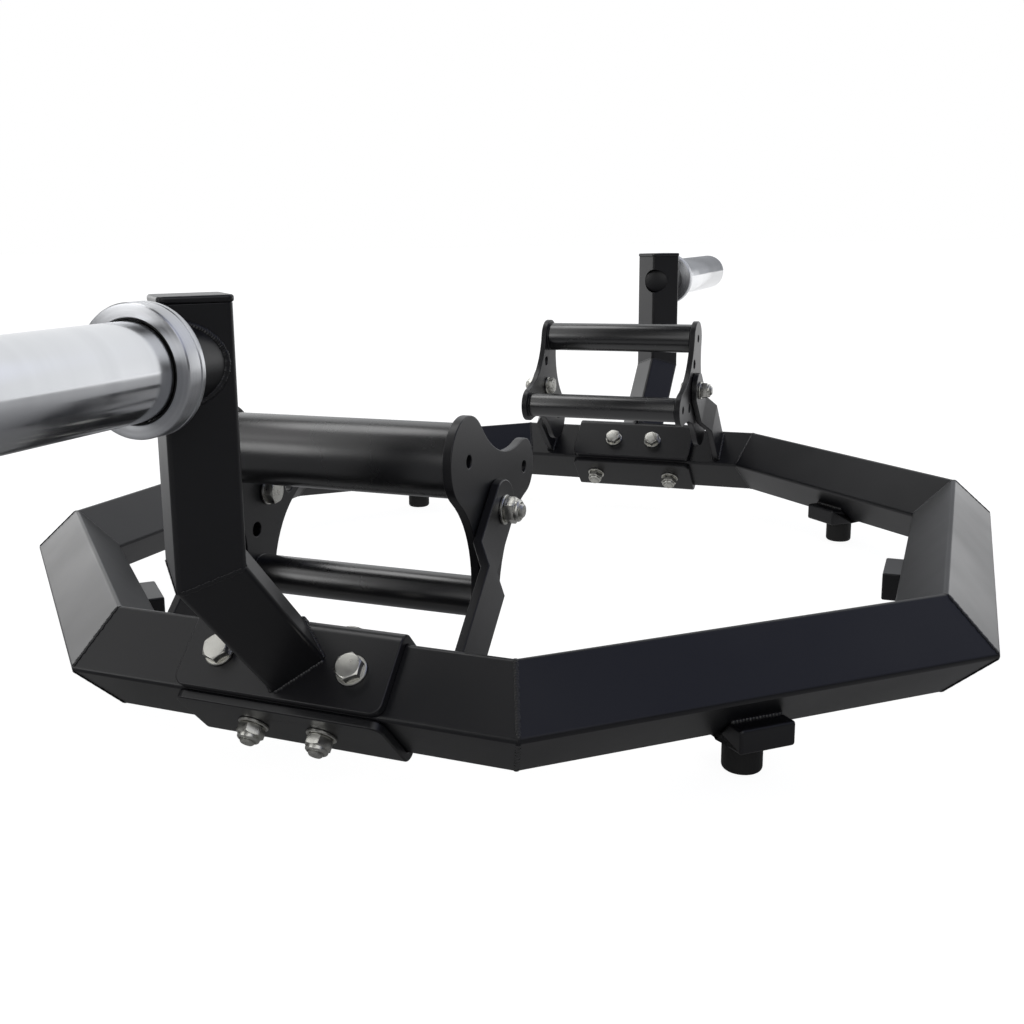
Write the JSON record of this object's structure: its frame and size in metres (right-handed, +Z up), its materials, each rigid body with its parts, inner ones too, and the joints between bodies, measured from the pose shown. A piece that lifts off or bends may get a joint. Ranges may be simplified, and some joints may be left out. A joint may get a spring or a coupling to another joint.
{
  "type": "hex trap bar",
  "caption": "Trap bar with an eight-sided tube ring, turning plate sleeves on bent uprights and turning multi-grip handles on bolted arms, in black with bright steel sleeves.",
  "frame": {"origin": "middle of the bar on the floor, under the middle of the ring", "axes": "+X along the sleeves towards the far one, +Y along the grips, +Z up"},
  "size_m": [1.673, 0.8074, 0.3114],
  "materials": {
    "black_coat": "satin black powder coat",
    "bright_steel": "turned and polished steel",
    "zinc": "bright zinc plate",
    "rubber": "matt black rubber",
    "bronze": "sintered bronze",
    "plug": "matt black plastic"
  },
  "bodies": {
    "frame": {"tube_end_near": "black_coat", "tube_end_far": "black_coat", "tube_side_right": "black_coat", "tube_side_left": "black_coat", "tube_corner_near_right": "black_coat", "tube_corner_far_right": "black_coat", "tube_corner_far_left": "black_coat", "tube_corner_near_left": "black_coat", "foot_block_near_right": "black_coat", "foot_block_far_right": "black_coat", "foot_block_far_left": "black_coat", "foot_block_near_left": "black_coat", "rubber_feet": "rubber", "foot_screws": "zinc", "inner_lugs": "black_coat", "clamp_top_near": "black_coat", "clamp_top_far": "black_coat", "clamp_bottom_near": "black_coat", "clamp_bottom_far": "black_coat", "clamp_bolts": "zinc", "clamp_washers": "zinc", "clamp_nuts": "zinc", "upright_foot_near": "black_coat", "upright_foot_far": "black_coat", "upright_near": "black_coat", "upright_far": "black_coat", "upright_cap_near": "black_coat", "upright_cap_far": "black_coat", "shaft_near": "bright_steel", "shaft_far": "bright_steel", "shaft_boss_near": "black_coat", "shaft_boss_far": "black_coat", "collar_near": "bright_steel", "collar_far": "bright_steel", "dust_seal_near": "rubber", "dust_seal_far": "rubber", "snap_rings": "bright_steel", "arm_near_right": "black_coat", "arm_near_left": "black_coat", "arm_far_right": "black_coat", "arm_far_left": "black_coat", "pivot_bolts": "zinc", "pivot_washers": "zinc", "pivot_nuts": "zinc"},
    "handle_near": {"handle_plate_near_right": "black_coat", "handle_plate_near_left": "black_coat", "fat_grip_near": "black_coat", "thin_grip_near": "black_coat"},
    "handle_far": {"handle_plate_far_right": "black_coat", "handle_plate_far_left": "black_coat", "medium_grip_far": "black_coat", "thin_grip_far": "black_coat"},
    "sleeve_near": {"sleeve_near": "bright_steel", "bushings_near": "bronze", "end_cap_near": "plug"},
    "sleeve_far": {"sleeve_far": "bright_steel", "bushings_far": "bronze", "end_cap_far": "plug"}
  },
  "joints": [
    {"name": "handle_near_turn", "type": "hinge", "parent": "frame", "child": "handle_near", "pos_m": [-0.3165, 0, 0.15992], "axis": [0, 1, 0], "continuous": true},
    {"name": "handle_far_turn", "type": "hinge", "parent": "frame", "child": "handle_far", "pos_m": [0.3165, 0, 0.15992], "axis": [0, 1, 0], "continuous": true},
    {"name": "sleeve_near_turn", "type": "hinge", "parent": "frame", "child": "sleeve_near", "pos_m": [-0.7, 0, 0.27642], "axis": [1, 0, 0], "continuous": true},
    {"name": "sleeve_far_turn", "type": "hinge", "parent": "frame", "child": "sleeve_far", "pos_m": [0.7, 0, 0.27642], "axis": [1, 0, 0], "continuous": true}
  ]
}
